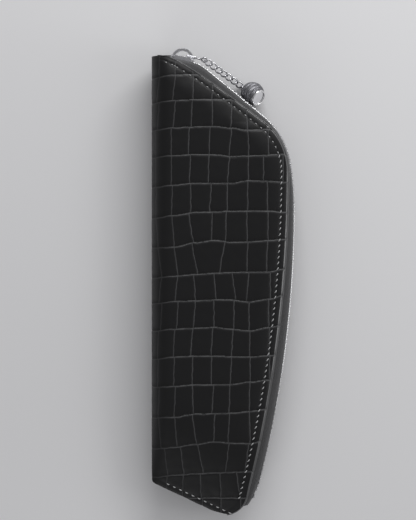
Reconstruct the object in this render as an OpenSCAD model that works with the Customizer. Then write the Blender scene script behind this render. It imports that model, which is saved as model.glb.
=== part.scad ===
// Zipped leather pouch for one fountain pen: a single leather wrap folded at the spine, sewn along its
// slanted bottom, with a metal zip round the sloped top and the curved side, and a chain pull with a ball.
// Built lying on its back: X across, Y from the bottom tip to the top, Z through the thickness.

/* [Leather] */
// Half of the case's thickness, at its flat middle
half_thick = 9; // [8:0.25:12]
// Half of the thickness where the leather meets the zip
edge_half = 7; // [6.5:0.25:8]
// Thickness of the leather
leather_t = 1.4; // [1:0.1:1.8]
// Thickness of the lining
lining_t = 0.4; // [0.3:0.05:0.6]
// How far the fold at the spine takes to reach full height
fold_r = 7; // [5:0.5:9]
// How far the leather takes to swell from the bottom seam to full height
seam_swell = 34; // [26:1:44]
// How far the leather takes to swell from the zip to full height
edge_swell = 9; // [6:0.5:12]
// Height of the bottom seam where it meets the spine, above the bottom tip
seam_rise = 11.53; // [10:0.25:14]
// Slant of the bottom seam, in degrees
seam_angle = 25; // [20:1:28]

/* [Outline of the leather edge] */
// Place where the free edge leaves the spine, across
edge_x = 2.2; // [1.8:0.1:2.8]
// Place where the free edge leaves the spine, up
edge_y = 164.8; // [160:0.5:170]
// Length of the straight slope at the top
slope_l = 20.6; // [18:0.5:24]
// Length of the long curved side
side_l = 97.4; // [90:1:105]

/* [Zip] */
// Height of the zip's centre line above the leather edge, where it starts
zip_lift = -0.3; // [-0.5:0.1:0]
// Thickness of the tape
tape_t = 0.5; // [0.4:0.05:0.6]
// How far the tape runs under the leather
tape_tuck = 3; // [2.5:0.1:3.4]
// Half width of the band's flat outer wall
band_half = 4.1; // [4:0.1:4.6]
// Distance from one tooth to the next in a row
tooth_pitch = 1.7; // [1.5:0.05:2]
// Width of one tooth along the zip
tooth_w = 0.7; // [0.6:0.02:0.72]
// Half of a tooth's thickness
tooth_half = 0.9; // [0.8:0.05:0.95]
// How far a tooth reaches out from the middle of the zip
tooth_reach = 2.1; // [1.9:0.05:2.3]
// How far a tooth's head crosses the middle of the zip
tooth_cross = 0.45; // [0.3:0.05:0.5]

/* [Slider] */
// Length of the slider's plates
slider_l = 8.2; // [7.5:0.1:8.4]
// Width of the slider's plates at the mouth
slider_w = 7.2; // [7:0.1:7.6]
// Thickness of a plate
plate_t = 0.7; // [0.6:0.05:0.8]
// Half height of the channel between the plates
channel_half = 1.15; // [1.1:0.05:1.3]
// Rise of the cap above the outer plate
cap_rise = 3.2; // [2.6:0.1:3.6]
// Width of the cap
cap_w = 1.9; // [1.6:0.1:2]

/* [Pull] */
// Thickness of the connector's bars
bar_d = 0.7; // [0.6:0.05:0.8]
// Length of the connector, from its pivot to its eye
connector_l = 6.3; // [5.8:0.1:7]
// Thickness of the chain's wire
wire_d = 0.6; // [0.5:0.05:0.65]
// Width of a chain link
link_w = 2.7; // [2.5:0.1:3]
// Radius of the ball
ball_r = 4.3; // [4:0.1:4.4]
// Diameter of the ball's end cap, over its rim
rim_d = 6.2; // [5.4:0.1:6.4]
// Diameter of the shank through the ball
shank_d = 1.2; // [1:0.05:1.4]

/* [Hidden] */
$fn = 32;

// Chain links between the connector and the ball
links = 7;
// Where the slider's middle lies along the zip, and where the tape's bead starts beside the teeth
slider_s = 8.85;
bead_z = 0.8;
// How far the top stops lie before the slider's middle, and how far down the slope the ball hangs
stop_before = 2.8;
ball_down = 18.2;
// Margin of bare leather along the zip, which takes the tape and its stitches
margin = tape_tuck + 0.8;
// Gaps between pieces
glue_gap = 0.03;
split_gap = 0.3;
fit = 0.1;
slack = 0.08;
seat = 0.25;

// Each stretch of an outline is [length, turn in degrees]; the two lists run side by side
EDGE = [[7.9, -26], [4, -1.6], [6, -2.4], [6.8, -2.9], [slope_l, 0], [20.4, -53.1], [12.7, -1.57],
    [side_l, -12.03], [7.7, 0], [10.15, -68.4]];
EDGE_HEADING = -4;
ZIP = [[7.6, 0], [4.5, 0], [5.8, -29], [7.6, 0], [slope_l - 1.7, 0], [19.1, -40.5], [16.6, -10],
    [side_l - 0.2, -14.1], [7.6, -10], [9.3, -35]];
ZIP_HEADING = -10.5;

// The line along which the mouth bends open, from the zip's top stop to its bottom stop
bend_top = [edge_x + 8, edge_y - 2.5];
bend_end = let (e = edge_at(9)) [e[0] + 0.44, e[1] - 0.74];
// The bottom tip, the height below which it is rounded off, and the seam's height at the spine
tip_y = edge_at(10)[1];
tip_round = tip_y + 1.68;
seam_y = tip_y + seam_rise;

// Rows of the leather's surface, as stations along the edge
ROWS = [0, 0.17, 0.35, 0.52, 0.7, 0.85, 1, 1.35, 1.7, 2, 2.25, 2.5, 2.75, 3, 3.5, 4, 4.5, 5, 5.17, 5.33,
    5.5, 5.67, 5.83, 6, 6.33, 6.67, 7, 7.1, 7.2, 7.3, 7.4, 7.5, 7.6, 7.68, 7.76, 7.84, 7.9, 7.95, 8, 8.4,
    8.6, 8.8, 8.9, 9, 9.1, 9.2, 9.3, 9.4, 9.7, 10];
FLAP_ROWS = [for (k = ROWS) if (k >= 1.7 && k <= 8.8) k];
LINING_ROWS = [for (k = ROWS) let (e = edge_at(k))
    if (k >= 2.5 && k <= 7.95 && e[0] - left_x(e[1]) > 3 * margin_at(e) + leather_t + lining_t) k];
FLAP_LINING_ROWS = [for (k = LINING_ROWS) let (e = edge_at(k))
    if (e[0] - bend_x(e[1]) > 3 * margin_at(e) + split_gap) k];
TAPE_ROWS = [for (k = ROWS) if (k <= 9.3) k];
// Columns across the leather, closer together at the fold; the last one ends at the cut edge
COLS = 9;
FLAP_COLS = 5;

// Walks an outline from point p and heading h
function ahead(p, h, l, turn) = turn == 0
    ? p + l * [cos(h), sin(h)]
    : p + l / (turn * PI / 180) * [sin(h + turn) - sin(h), cos(h) - cos(h + turn)];
function walk(p, h, path, k, i = 0) = k <= 1 || i == len(path) - 1
    ? concat(ahead(p, h, path[i][0] * k, path[i][1] * k), [h + path[i][1] * k])
    : walk(ahead(p, h, path[i][0], path[i][1]), h + path[i][1], path, k - 1, i + 1);
function edge_at(k) = walk([edge_x, edge_y], EDGE_HEADING, EDGE, k);
function zip_at(k) = walk([edge_x, edge_y + zip_lift], ZIP_HEADING, ZIP, k);
function station(path, s, i = 0) = s <= path[i][0] || i == len(path) - 1
    ? i + s / path[i][0]
    : station(path, s - path[i][0], i + 1);
function outward(h) = [-sin(h), cos(h)];
// Distance along an outline up to a station
function run(path, k, i = 0) = k <= 1 ? path[i][0] * k : path[i][0] + run(path, k - 1, i + 1);

// Surface of the leather: distance from the seam, then height above the middle of the case
function swell(d, reach) = sin(90 * min(1, max(0, d) / reach));
function seam_distance(x, y) = (y - seam_y + x * tan(seam_angle)) * cos(seam_angle);
function height(x, y, edge_d) = let (seam_half = leather_t + 0.05,
        full = edge_half + (half_thick - edge_half) * swell(edge_d, edge_swell))
    seam_half + (full - seam_half) * swell(seam_distance(x, y), seam_swell);
function fold(x, r) = let (f = 1 - min(1, (x + 0.15) / r)) sqrt(1 - f * f);
function left_x(y) = let (line = (seam_y - y) / tan(seam_angle), round = max(0, tip_round - y))
    (line + sqrt(line * line + 0.4)) / 2 + 1.1 * round * round;
function bend_x(y) = bend_top[0] + (bend_top[1] - y) * (bend_end[0] - bend_top[0])
    / (bend_top[1] - bend_end[1]);

// One point of the surface, at a depth below it, on the row that ends at edge station e
function skin(e, x, depth, side) = let (edge_d = (e[0] - x) * abs(sin(e[2])))
    [x, e[1], side * (height(x, e[1], edge_d) - depth) * fold(x - depth, fold_r - depth)];
// Places across a row: evenly bunched columns up to the margin, then the cut edge
function across(from, to, margin, n, bunch) = let (m = min(margin, (to - from) / 3))
    concat([for (j = [0:n - 1]) from + (to - m - from) * pow(j / (n - 1), bunch)], [to]);
function margin_at(e) = margin / abs(sin(e[2]));
function wrap_row(k, depth, last = COLS) = let (e = edge_at(k), from = left_x(e[1]) + depth,
        split = bend_x(e[1]) - split_gap / 2, cut = split < e[0] - 0.5,
        front = across(from, min(split, e[0]), cut ? 0.5 : margin_at(e), COLS, 1.7),
        back = across(from, e[0], margin_at(e), COLS, 1.7))
    concat([for (j = [last:-1:0]) skin(e, front[j], depth, 1)],
        [for (j = [0:last]) skin(e, back[j], depth, -1)]);
function flap_row(k, depth, last = FLAP_COLS) = let (e = edge_at(k),
        x = across(bend_x(e[1]) + split_gap / 2, e[0], margin_at(e), FLAP_COLS, 1))
    [for (j = [last:-1:0]) skin(e, x[j], depth, 1)];

// A closed shell between two grids of points
module shell(outer, inner) {
    rows = len(outer);
    cols = len(outer[0]);
    function a(i, j) = i * cols + j;
    function b(i, j) = (rows + i) * cols + j;
    points = concat([for (row = outer) for (p = row) p], [for (row = inner) for (p = row) p]);
    skins = [for (i = [0:rows - 2]) for (j = [0:cols - 2]) each [
        [a(i, j), a(i + 1, j), a(i + 1, j + 1)], [a(i, j), a(i + 1, j + 1), a(i, j + 1)],
        [b(i, j), b(i + 1, j + 1), b(i + 1, j)], [b(i, j), b(i, j + 1), b(i + 1, j + 1)]]];
    ends = [for (j = [0:cols - 2]) each [
        [a(0, j), a(0, j + 1), b(0, j + 1)], [a(0, j), b(0, j + 1), b(0, j)],
        [a(rows - 1, j), b(rows - 1, j), b(rows - 1, j + 1)],
        [a(rows - 1, j), b(rows - 1, j + 1), a(rows - 1, j + 1)]]];
    sides = [for (i = [0:rows - 2]) each [
        [a(i, 0), b(i, 0), b(i + 1, 0)], [a(i, 0), b(i + 1, 0), a(i + 1, 0)],
        [a(i, cols - 1), a(i + 1, cols - 1), b(i + 1, cols - 1)],
        [a(i, cols - 1), b(i + 1, cols - 1), b(i, cols - 1)]]];
    polyhedron(points, concat(skins, ends, sides), convexity = 8);
}

// Puts the model in its frame: the middle of its box at X = Y = 0, the flat back at Z = 0
slider_at = zip_at(station(ZIP, slider_s));
plate_top = channel_half + plate_t;
cap_half = slider_l / 2 - 0.2;
cap_r = (cap_half * cap_half + cap_rise * cap_rise) / (2 * cap_rise);
frame_x = (zip_at(7)[0] + tooth_half) / 2;
frame_y = (edge_at(10)[1] + slider_at[1] + (plate_top + cap_rise - cap_r) * cos(slider_at[2]) + cap_r) / 2;
module place() {
    translate([-frame_x, -frame_y, half_thick]) children();
}

module leather_wrap() {
    color("#1d1d1f") place() shell([for (k = ROWS) wrap_row(k, 0)],
        [for (k = ROWS) wrap_row(k, leather_t)]);
}

module mouth_flap() {
    color("#26262a") place() shell([for (k = FLAP_ROWS) flap_row(k, 0)],
        [for (k = FLAP_ROWS) flap_row(k, leather_t)]);
}

module wrap_lining() {
    top = leather_t + glue_gap;
    color("#3a3634") place() shell([for (k = LINING_ROWS) wrap_row(k, top, COLS - 1)],
        [for (k = LINING_ROWS) wrap_row(k, top + lining_t, COLS - 1)]);
}

module flap_lining() {
    top = leather_t + glue_gap;
    color("#453f3c") place() shell([for (k = FLAP_LINING_ROWS) flap_row(k, top, FLAP_COLS - 1)],
        [for (k = FLAP_LINING_ROWS) flap_row(k, top + lining_t, FLAP_COLS - 1)]);
}

// Tape: flat from the teeth to the band's corner, then round under the leather's edge
function bead(k) = bead_z + 0.6 * swell(slider_s - 0.6 - run(ZIP, k), 1.6);
function under_leather(p, edge_d) = let (f = fold(p[0] - leather_t, fold_r - leather_t))
    (height(p[0], p[1], edge_d) - leather_t) * f - (tape_t / 2 + fit) / f;
// Height up to which the band's wall stands straight, at a station
function wall_at(k) = let (e = edge_at(k))
    min(band_half, max(bead(k) + 0.3, under_leather([e[0], e[1]], 0) - 1.1));
function tape_row(k, side) = let (z = zip_at(k), e = edge_at(k), out = outward(z[2]), in = -outward(e[2]),
        zp = [z[0], z[1]], ep = [e[0], e[1]], tuck = ep + tape_tuck * in, h = side * tape_t / 2,
        lip = under_leather(ep, 0), wall = wall_at(k),
        inner = lip + (under_leather(ep + margin * in, margin) - lip) * tape_tuck / margin - fit,
        mid = zp + (ep - zp) * 0.3)
    [concat(zp + out * h, [bead(k)]), concat(zp + out * h, [wall]),
        concat(mid + out * h * 0.7, [(wall + lip) / 2 + h * 0.7 + 0.15]),
        concat(ep, [lip + h]), concat(tuck, [inner + h])];
module front_tape() {
    color("#2c2c2e") place() shell([for (k = TAPE_ROWS) tape_row(k, 1)],
        [for (k = TAPE_ROWS) tape_row(k, -1)]);
}

module back_tape() {
    color("#2c2c2e") place() mirror([0, 0, 1]) shell([for (k = TAPE_ROWS) tape_row(k, 1)],
        [for (k = TAPE_ROWS) tape_row(k, -1)]);
}

// Puts a child at a distance along the zip: its X runs along the zip, its Y outward
module on_zip(s) {
    at = zip_at(station(ZIP, s));
    translate([at[0], at[1], 0]) rotate([0, 0, at[2]]) children();
}

// A clip on the tape's bead, w wide along the zip: a web, then two jaws that grip the tape
module clip(w, from, web, to) {
    jaw = tape_t / 2 + fit;
    rotate([90, 0, 90]) linear_extrude(w, center = true) polygon([
        [-0.55, from], [0.55, from], [tooth_half, from + 0.4], [tooth_half, to - 0.35],
        [jaw + 0.15, to], [jaw, to], [jaw, from + web], [-jaw, from + web],
        [-jaw, to], [-jaw - 0.15, to], [-tooth_half, to - 0.35], [-tooth_half, from + 0.4]]);
}

first_tooth = slider_s - 0.7;
last_tooth = run(ZIP, 9) - 1.6;
tooth_count = floor((last_tooth - first_tooth) / tooth_pitch);
bead_play = 0.05;
module teeth_row(shift) {
    web = tooth_cross + bead_z - bead_play;
    for (i = [0:tooth_count - 1]) {
        s = first_tooth + (i + shift) * tooth_pitch;
        on_zip(s) clip(tooth_w, -tooth_cross, web, min(tooth_reach, wall_at(station(ZIP, s))));
    }
}

module front_teeth() {
    color("#c9cacc") place() teeth_row(0);
}

module back_teeth() {
    color("#c9cacc") place() mirror([0, 0, 1]) teeth_row(0.5);
}

// Stops: two small clips beside the slider's divider, and one that joins both tapes at the end
module top_stop() {
    on_zip(slider_s - stop_before) clip(1.1, 1.1, 0.12, 2.4);
}

module front_top_stop() {
    color("#b9babc") place() top_stop();
}

module back_top_stop() {
    color("#b9babc") place() mirror([0, 0, 1]) top_stop();
}

module bottom_stop() {
    web = 0.7;
    stop_w = 1.5;
    grip = min(1.55, wall_at(station(ZIP, last_tooth + 2 * stop_w)));
    color("#b9babc") place() on_zip(last_tooth + stop_w) {
        clip(stop_w, -web, 2 * web, grip);
        mirror([0, 0, 1]) clip(stop_w, -web, 2 * web, grip);
    }
}

// Slider: X runs along the zip away from the mouth of the slider, Y outward, Z across
module on_slider() {
    place() on_zip(slider_s) children();
}

// Raises an outline in the X-Z plane from one height to another
module raise(from, to) {
    translate([0, to, 0]) rotate([90, 0, 0]) linear_extrude(to - from) children();
}

half_l = slider_l / 2;
half_w = slider_w / 2;
rear_w = 2.9;
flange_t = 0.6;
module plate_outline() {
    polygon([[-half_l, 0.9 - half_w], [0.8 - half_l, -half_w], [0.4, -half_w], [half_l - 0.8, -rear_w],
        [half_l, 0.9 - rear_w], [half_l, rear_w - 0.9], [half_l - 0.8, rear_w], [0.4, half_w],
        [0.8 - half_l, half_w], [-half_l, half_w - 0.9]]);
}

module flange_outline() {
    for (side = [-1, 1]) scale([1, side]) polygon([[0.8 - half_l, half_w - flange_t],
        [0.8 - half_l, half_w], [0.4, half_w], [half_l - 0.8, rear_w],
        [half_l - 0.8, rear_w - flange_t], [0.2, half_w - flange_t]]);
}

divider_half = 0.85;
tenon = [0.5, 0.7, 1];
tenon_x = cap_half - 0.5;
pawl_hole = [0.8, 2, 1.3];
module slider_body() {
    slot = tape_t / 2 + fit;
    color("#a9abae") on_slider() difference() {
        union() {
            raise(channel_half, plate_top) plate_outline();
            raise(-plate_top, -channel_half) plate_outline();
            raise(slot, channel_half) flange_outline();
            raise(-channel_half, -slot) flange_outline();
            raise(-channel_half, channel_half) polygon([[0.7 - half_l, 0], [1.5 - half_l, -divider_half],
                [-2, -divider_half], [-1.5, 0], [-2, divider_half], [1.5 - half_l, divider_half]]);
        }
        translate([0.2, plate_top, 0]) cube(pawl_hole, center = true);
        for (side = [-1, 1])
            translate([side * tenon_x, plate_top, 0]) cube(tenon + [1, 1, 1] * 2 * glue_gap, center = true);
    }
}

strap_t = 0.95;
foot_l = 0.95;
module arch(half, rise, w) {
    r = (half * half + rise * rise) / (2 * rise);
    intersection() {
        translate([0, plate_top + rise - r, 0]) cylinder(r = r, h = w, center = true, $fn = 64);
        translate([-half, plate_top, -w]) cube([2 * half, rise + 1, 2 * w]);
    }
}

module slider_cap() {
    color("#b4b6b9") on_slider() {
        difference() {
            arch(cap_half, cap_rise, cap_w);
            arch(cap_half - foot_l, cap_rise - strap_t, cap_w + 1);
            translate([foot_l - cap_half, plate_top, 0]) cube([0.7, 0.8, 1.3], center = true);
        }
        for (side = [-1, 1]) translate([side * tenon_x, plate_top, 0]) cube(tenon, center = true);
    }
}

module lock_pawl() {
    strip = 0.25;
    base = plate_top + 0.06;
    from = foot_l - cap_half - 0.1;
    color("#9a9c9e") on_slider() linear_extrude(1, center = true) polygon([[from, base], [0.15, base],
        [0.15, channel_half], [0.15 + strip, channel_half], [0.15 + strip, base + strip],
        [from, base + strip]]);
}

// Connector: a loop round the cap's strap, a neck and an eye for the chain
pivot = [1.5, plate_top + 0.7];
connector_tilt = -2;
loop_l = 3;
loop_half = cap_w / 2 + fit * 2 + bar_d / 2;
eye_r = 1;
eye_roll = 45;
module bar(from, to) {
    d = to - from;
    translate(from) sphere(d = bar_d);
    translate(to) sphere(d = bar_d);
    translate(from) rotate([0, acos(d[2] / norm(d)), atan2(d[1], d[0])]) cylinder(d = bar_d, h = norm(d));
}

module ring() {
    rotate_extrude($fn = 48) translate([eye_r, 0]) circle(d = wire_d);
}

module pull_connector() {
    color("#d3d5d8") on_slider() translate(pivot) rotate([0, 0, connector_tilt]) {
        for (side = [-1, 1]) bar([0, 0, side * loop_half], [loop_l, 0, side * loop_half]);
        bar([0, 0, -loop_half], [0, 0, loop_half]);
        bar([loop_l, 0, -loop_half], [loop_l, 0, loop_half]);
        bar([loop_l, 0, 0], [connector_l - eye_r, 0, 0]);
        translate([connector_l, 0, 0]) rotate([eye_roll, 0, 0]) ring();
    }
}

// Ball: its axis runs from the eyelet to the end cap
ball_s = run(ZIP, 3) + ball_down;
ball_gap = 0.4;
ball_tilt = 54.5;
ball_yaw = -37;
ball_at = let (z = zip_at(station(ZIP, ball_s)), p = [z[0], z[1]] + outward(z[2]) * (ball_r + ball_gap))
    [p[0], p[1], ball_r + fit - half_thick];
ball_axis = [sin(ball_tilt) * cos(ball_yaw), sin(ball_tilt) * sin(ball_yaw), cos(ball_tilt)];
collar_at = ball_r - 0.25;
eyelet_at = collar_at + 1.25;
eyelet_roll = 4;
module on_ball() {
    place() translate(ball_at) rotate([0, ball_tilt, ball_yaw]) children();
}

face_at = sqrt(ball_r * ball_r - rim_d * rim_d / 4);
disc_r = rim_d / 2 - 0.7;
pocket_r = disc_r + 0.35;
module ball() {
    color("#77797c") on_ball() difference() {
        sphere(r = ball_r, $fn = 64);
        translate([0, 0, face_at + ball_r]) cube(2 * ball_r, center = true);
        translate([0, 0, -collar_at - ball_r]) cube(2 * ball_r, center = true);
        cylinder(d = shank_d + 2 * glue_gap, h = 3 * ball_r, center = true);
        translate([0, 0, face_at - 0.9]) cylinder(r = pocket_r + glue_gap, h = 2);
        for (a = [-55:22:20]) rotate_extrude($fn = 64)
            translate([(ball_r + 0.05) * cos(a), (ball_r + 0.05) * sin(a)]) circle(r = 0.2, $fn = 16);
    }
}

module ball_eyelet() {
    color("#c4c6c9") on_ball() {
        translate([0, 0, -collar_at - 0.4]) cylinder(d = 1.9, h = 0.4 - glue_gap);
        translate([0, 0, -collar_at - 0.2]) cylinder(d = shank_d, h = collar_at + face_at - 0.3);
        translate([0, 0, -eyelet_at]) rotate([90, 0, eyelet_roll]) ring();
    }
}

module cap_rim() {
    color("#e2e3e5") on_ball() rotate_extrude($fn = 64) {
        translate([disc_r + glue_gap, face_at + glue_gap]) square([rim_d / 2 - disc_r - 0.1, 0.25]);
        translate([disc_r + glue_gap, face_at - 0.6]) square([pocket_r - disc_r - glue_gap, 0.7]);
        translate([(disc_r + rim_d / 2) / 2, face_at + 0.32]) circle(r = 0.27);
    }
}

module cap_disc() {
    color("#dcdde0") on_ball() difference() {
        translate([0, 0, face_at - 0.6]) cylinder(r = disc_r, h = 0.85);
        cylinder(d = shank_d + 2 * glue_gap, h = face_at - 0.05);
    }
}

// Chain: curb links in a line from the connector's eye to the ball's eyelet
chain_from = let (at = zip_at(station(ZIP, slider_s)), h = at[2], reach = pivot
        + connector_l * [cos(connector_tilt), sin(connector_tilt)])
    [at[0] + reach[0] * cos(h) - reach[1] * sin(h), at[1] + reach[0] * sin(h) + reach[1] * cos(h), 0];
chain_to = ball_at - eyelet_at * ball_axis;
chain_l = norm(chain_to - chain_from);
chain_dir = (chain_to - chain_from) / chain_l;
link_a = (chain_l - 2 * seat + (links - 1) * (wire_d + slack)) / (2 * links);
link_step = 2 * link_a - wire_d - slack;
link_twist = 45;
link_rings = 28;
link_sides = 8;

// A tube round a closed twisted oval
function link_point(t) = let (b = (link_w - wire_d) / 2 * sin(t), roll = link_twist * cos(t))
    [link_a * cos(t), b * cos(roll), b * sin(roll)];
function unit(v) = v / norm(v);
module curb_link() {
    rings = [for (i = [0:link_rings - 1]) let (t = i * 360 / link_rings, p = link_point(t),
            along = unit(link_point(t + 1) - link_point(t - 1)), side = unit(cross(along, unit([p[0], 0, 0]
            + [0, p[1], p[2]]))), up = cross(side, along))
        for (j = [0:link_sides - 1]) p + wire_d / 2 * (side * cos(j * 360 / link_sides)
            + up * sin(j * 360 / link_sides))];
    function at(i, j) = (i % link_rings) * link_sides + j % link_sides;
    polyhedron(rings, [for (i = [0:link_rings - 1]) for (j = [0:link_sides - 1]) each [
        [at(i, j), at(i + 1, j + 1), at(i + 1, j)], [at(i, j), at(i, j + 1), at(i + 1, j + 1)]]]);
}

module chain_link(n) {
    color("#b9bbbe") place() translate(chain_from + chain_dir * (seat + link_a + (n - 1) * link_step))
        rotate([0, asin(-chain_dir[2]), atan2(chain_dir[1], chain_dir[0])]) curb_link();
}

leather_wrap();
mouth_flap();
wrap_lining();
flap_lining();
back_tape();
front_tape();
back_teeth();
front_teeth();
back_top_stop();
front_top_stop();
bottom_stop();
slider_body();
slider_cap();
lock_pawl();
pull_connector();
chain_link(1);  // chain_link_1
chain_link(2);  // chain_link_2
chain_link(3);  // chain_link_3
chain_link(4);  // chain_link_4
chain_link(5);  // chain_link_5
chain_link(6);  // chain_link_6
chain_link(7);  // chain_link_7
ball();
ball_eyelet();
cap_rim();
cap_disc();
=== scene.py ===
"""Dresses a zipped pen case: embossed leather, sewn edges, zip tape, teeth, slider, chain and ball."""
from __future__ import annotations

import bisect
import logging
import math
from dataclasses import dataclass, field
from enum import Enum

import bmesh
import bpy
from mathutils import Matrix, Vector, noise


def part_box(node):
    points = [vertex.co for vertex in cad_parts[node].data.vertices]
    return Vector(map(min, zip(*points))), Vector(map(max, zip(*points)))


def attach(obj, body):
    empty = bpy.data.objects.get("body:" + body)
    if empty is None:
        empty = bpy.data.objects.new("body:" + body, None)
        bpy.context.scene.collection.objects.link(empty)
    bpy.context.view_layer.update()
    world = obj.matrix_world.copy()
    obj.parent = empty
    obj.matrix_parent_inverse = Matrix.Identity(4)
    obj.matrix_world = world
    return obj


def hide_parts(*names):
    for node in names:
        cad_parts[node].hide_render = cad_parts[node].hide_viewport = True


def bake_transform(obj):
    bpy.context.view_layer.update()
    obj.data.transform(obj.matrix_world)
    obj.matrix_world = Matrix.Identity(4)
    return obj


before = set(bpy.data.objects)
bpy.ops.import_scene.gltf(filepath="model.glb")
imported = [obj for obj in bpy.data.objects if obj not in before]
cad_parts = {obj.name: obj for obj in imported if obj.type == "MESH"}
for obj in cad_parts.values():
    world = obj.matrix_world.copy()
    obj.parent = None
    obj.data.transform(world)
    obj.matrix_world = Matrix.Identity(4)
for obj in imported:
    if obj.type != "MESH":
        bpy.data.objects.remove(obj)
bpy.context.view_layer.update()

Piece = bpy.types.Object
Material = bpy.types.Material
Tree = bpy.types.NodeTree
Node = bpy.types.Node
Socket = bpy.types.NodeSocket
Mesh = bmesh.types.BMesh
Vert = bmesh.types.BMVert
Triple = tuple[float, float, float]

LOG = logging.getLogger("pen_case")
MM = 0.001
ROUNDED_FROM = math.radians(28)
CAST_SHARP = math.radians(34)
TURNED_SHARP = math.radians(50)


class Side(Enum):
    """Which half of the case a piece belongs to: its sign is the sign of its height."""

    FRONT = 1
    BACK = -1

    def named(self, what: str) -> str:
        """Gives the name of a piece or node on this side."""
        return f"{self.name.lower()}_{what}"


def smooth(share: float) -> float:
    """Eases a share in and out, kept from 0 to 1."""
    share = max(0.0, min(1.0, share))
    return share * share * (3 - 2 * share)


def bell(distance: float, width: float) -> float:
    """Gives 1 at no distance, falling off evenly over a width."""
    return math.exp(-(distance / width) ** 2)


def outward(heading: float) -> Vector:
    """Gives the flat direction out of the case, square to a heading."""
    return Vector((-math.sin(heading), math.cos(heading), 0.0))


# --- Form: the same outlines and surface as the solids, in millimetres from the spine and the bottom tip ---


@dataclass(frozen=True)
class Outline:
    """A plan line walked stretch by stretch; each stretch is a length and a turn in degrees."""

    start: tuple[float, float]
    heading: float
    stretches: tuple[tuple[float, float], ...]

    def at(self, station: float) -> Triple:
        """Gives the place and heading at a station.

        Args:
            station: number of whole stretches walked, plus the walked share of the next.

        Returns:
            X, Y and the heading in radians.
        """
        x, y = self.start
        heading = math.radians(self.heading)
        for index, (length, turn) in enumerate(self.stretches):
            last = index == len(self.stretches) - 1
            share = station - index if last else min(1.0, station - index)
            if share <= 0:
                break
            angle = math.radians(turn) * share
            if abs(angle) < 1e-9:
                x += length * share * math.cos(heading)
                y += length * share * math.sin(heading)
            else:
                radius = length * share / angle
                x += radius * (math.sin(heading + angle) - math.sin(heading))
                y += radius * (math.cos(heading) - math.cos(heading + angle))
            heading += angle
        return x, y, heading

    def run(self, station: float) -> float:
        """Gives the distance along the line up to a station."""
        return sum(length * max(0.0, min(1.0, station - i)) for i, (length, _) in enumerate(self.stretches))

    def station(self, distance: float) -> float:
        """Gives the station at a distance along the line.

        Args:
            distance: millimetres from the start.

        Returns:
            The station.
        """
        for index, (length, _) in enumerate(self.stretches):
            if distance <= length or index == len(self.stretches) - 1:
                return index + distance / length
            distance -= length
        return float(len(self.stretches))


@dataclass(frozen=True)
class CaseForm:
    """The shape that every soft piece follows."""

    half_thick: float = 9.0
    edge_half: float = 7.0
    leather_t: float = 1.4
    seam_gap: float = 0.05
    fold_r: float = 7.0
    seam_swell: float = 34.0
    edge_swell: float = 9.0
    seam_y: float = 11.85
    seam_angle: float = 25.0
    tip_blend: float = 1.4
    tip_high: float = 2.0
    tip_round: float = 1.1
    spine_trim: float = 0.03
    bend_top: tuple[float, float] = (10.2, 162.3)
    bend_end: tuple[float, float] = (34.6, 6.0)
    edge: Outline = Outline((2.2, 164.8), -4.0, (
        (7.9, -26.0), (4.0, -1.6), (6.0, -2.4), (6.8, -2.9), (20.6, 0.0), (20.4, -53.1), (12.7, -1.57),
        (97.4, -12.03), (7.7, 0.0), (10.15, -68.4)))
    zip: Outline = Outline((2.2, 164.5), -10.5, (
        (7.6, 0.0), (4.5, 0.0), (5.8, -29.0), (7.6, 0.0), (18.9, 0.0), (19.1, -40.5), (16.6, -10.0),
        (97.2, -14.1), (7.6, -10.0), (9.3, -35.0)))

    def swell(self, distance: float, reach: float) -> float:
        """Gives the share of full height at a distance from a sewn edge."""
        return math.sin(math.pi / 2 * min(1.0, max(0.0, distance) / reach))

    def seam_distance(self, x: float, y: float) -> float:
        """Gives the distance of a point from the slanted bottom seam."""
        slope = math.radians(self.seam_angle)
        return (y - self.seam_y + x * math.tan(slope)) * math.cos(slope)

    def height(self, x: float, y: float, edge_distance: float) -> float:
        """Gives the height of the leather's outside above the middle plane, away from the fold.

        Args:
            x: place across.
            y: place up.
            edge_distance: distance from the sewn edge.

        Returns:
            The height in millimetres.
        """
        seam_half = self.leather_t + self.seam_gap
        full = self.edge_half
        full += (self.half_thick - self.edge_half) * self.swell(edge_distance, self.edge_swell)
        return seam_half + (full - seam_half) * self.swell(self.seam_distance(x, y), self.seam_swell)

    def left(self, y: float) -> float:
        """Gives where a row starts: at the spine, or on the bottom seam.

        Args:
            y: place up.

        Returns:
            The place across.
        """
        line = (self.seam_y - y) / math.tan(math.radians(self.seam_angle))
        rounding = max(0.0, self.tip_high - y)
        start = (line + math.sqrt(line * line + self.tip_blend)) / 2 - self.spine_trim
        return max(0.0, start) + self.tip_round * rounding * rounding

    def fold(self, x: float, depth: float) -> float:
        """Gives the share of height that the round fold at the spine allows at a place across."""
        share = 1 - min(1.0, max(0.0, x - depth) / (self.fold_r - depth))
        return math.sqrt(max(0.0, 1 - share * share))

    def bend_across(self) -> Vector:
        """Gives the unit direction across the mouth's bend line, towards the zip.

        Returns:
            The direction.
        """
        along = Vector((self.bend_end[0] - self.bend_top[0], self.bend_end[1] - self.bend_top[1]))
        along.normalize()
        return Vector((-along.y, along.x, 0.0))


FORM = CaseForm()
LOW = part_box("leather_wrap")[0]
SHIFT_X = LOW.x / MM
SHIFT_Y = LOW.y / MM - FORM.edge.at(10)[1]


def placed(x: float, y: float, z: float) -> Vector:
    """Turns a point of the form, in millimetres, into the shared frame, in metres."""
    return Vector(((x + SHIFT_X) * MM, (y + SHIFT_Y) * MM, (z + FORM.half_thick) * MM))


# --- Embossing: rows of scales, from the layout of the embossing plate ---


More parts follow.
